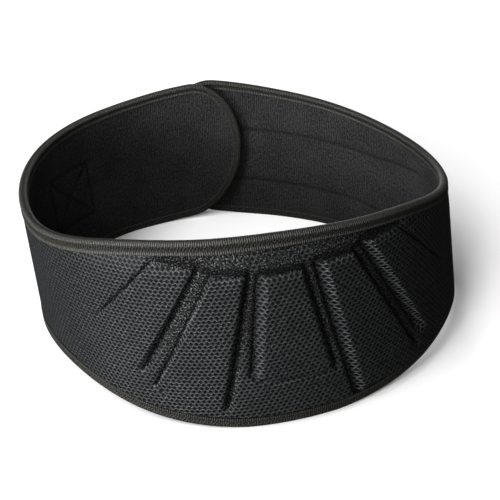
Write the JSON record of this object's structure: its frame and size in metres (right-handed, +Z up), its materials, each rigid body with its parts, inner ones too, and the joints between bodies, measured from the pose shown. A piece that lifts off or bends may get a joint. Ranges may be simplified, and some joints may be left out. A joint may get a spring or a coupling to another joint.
{
  "type": "neoprene belt",
  "caption": "Contoured neoprene waist belt with moulded lumbar pads under mesh, a knit lining, taped edges and overlapping fastened ends, closed and standing on its lower edge.",
  "frame": {"origin": "middle of the belt's bounding box, on the surface that it stands on", "axes": "+Z up, -Y the way the lumbar panel faces, +Y the side where the ends overlap, +X to the right as seen from the lumbar side"},
  "size_m": [0.3586, 0.3274, 0.1506],
  "materials": {
    "outer_panel": "matte open-hole spacer mesh over moulded foam",
    "lining": "matte fine ribbed knit on neoprene",
    "edge_binding": "ribbed woven nylon tape with a slight sheen",
    "hook_patch": "matte woven hook tape"
  },
  "bodies": {
    "root": {"outer_panel": "outer_panel", "lining": "lining", "edge_binding": "edge_binding", "hook_patch": "hook_patch"}
  },
  "joints": []
}
